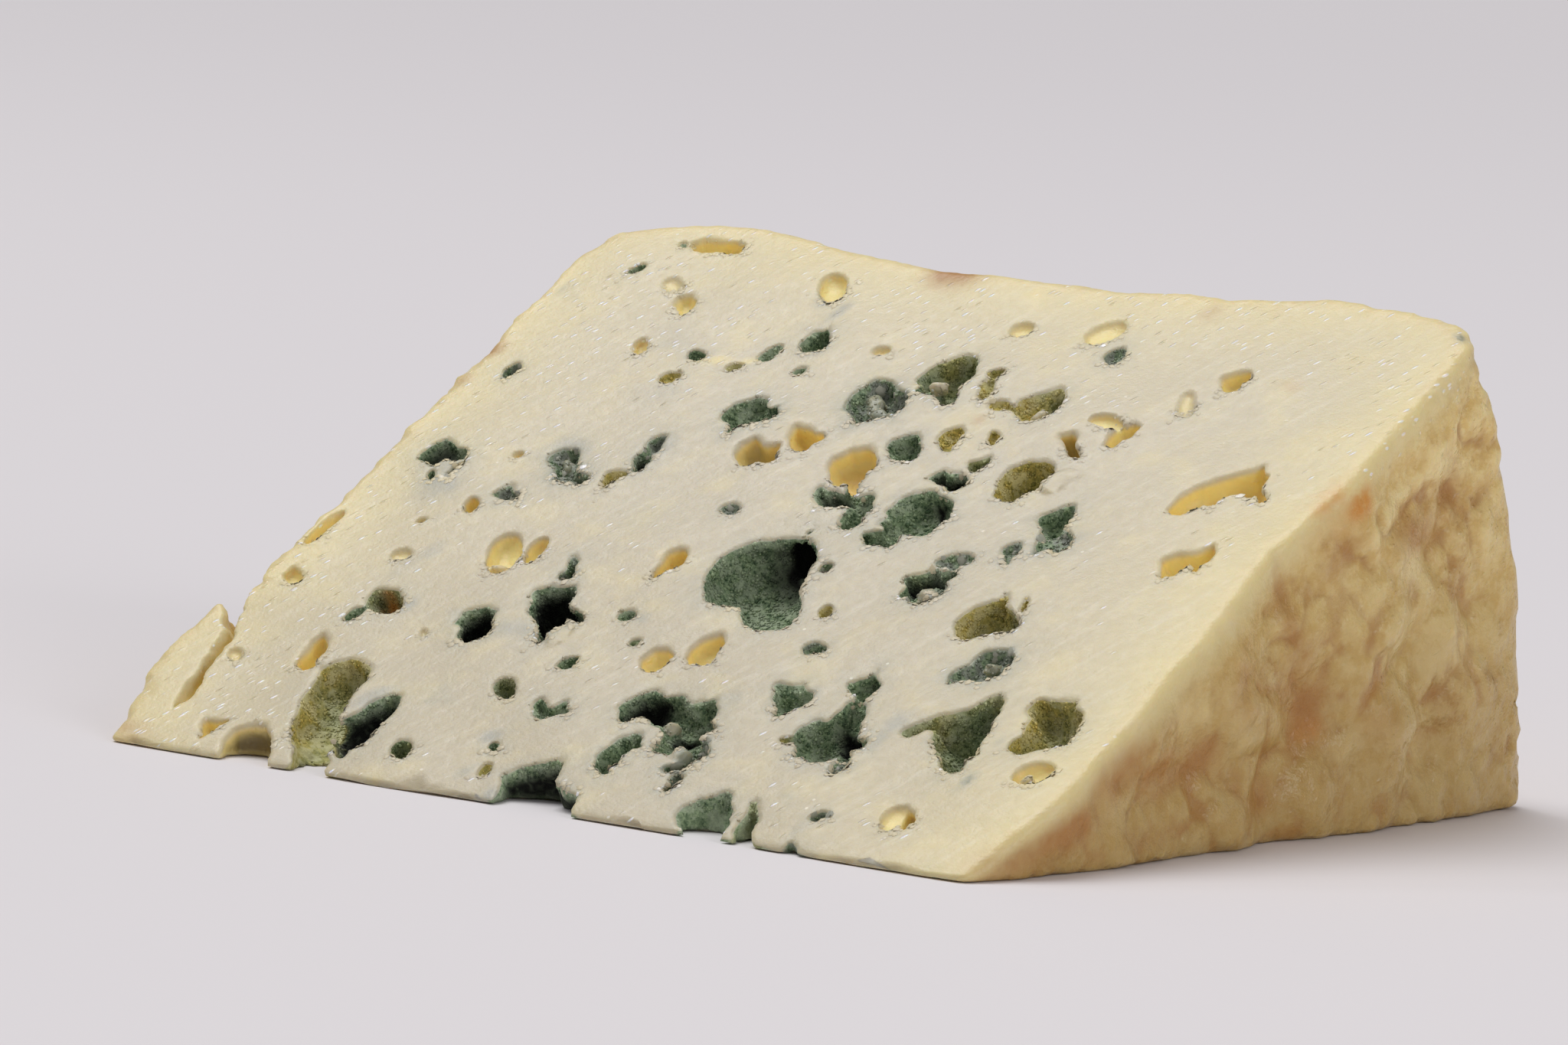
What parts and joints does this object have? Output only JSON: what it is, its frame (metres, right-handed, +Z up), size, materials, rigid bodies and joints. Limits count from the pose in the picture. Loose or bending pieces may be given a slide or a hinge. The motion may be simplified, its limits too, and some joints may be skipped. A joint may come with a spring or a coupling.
{
  "type": "roquefort wedge",
  "caption": "Wedge of blue-veined cheese lying on a cut face, its sloping cut full of mould-lined holes, with pale rind at the ends and along the curved back.",
  "frame": {"origin": "centre of the bounding box's underside, on the surface that the wedge lies on", "axes": "+Z up; X along the axis of the drum that the wedge was cut from, its longest way; the thin edge is at -Y and the curved rind at +Y"},
  "size_m": [0.1221, 0.095, 0.0532],
  "materials": {
    "paste": "moist ivory cheese paste, yellower under the rind, with teal and olive mould in its holes",
    "mould": "velvety teal to olive mould",
    "crumb": "moist white crumbs of paste"
  },
  "bodies": {
    "root": {"cheese_wedge": "paste"}
  },
  "joints": []
}
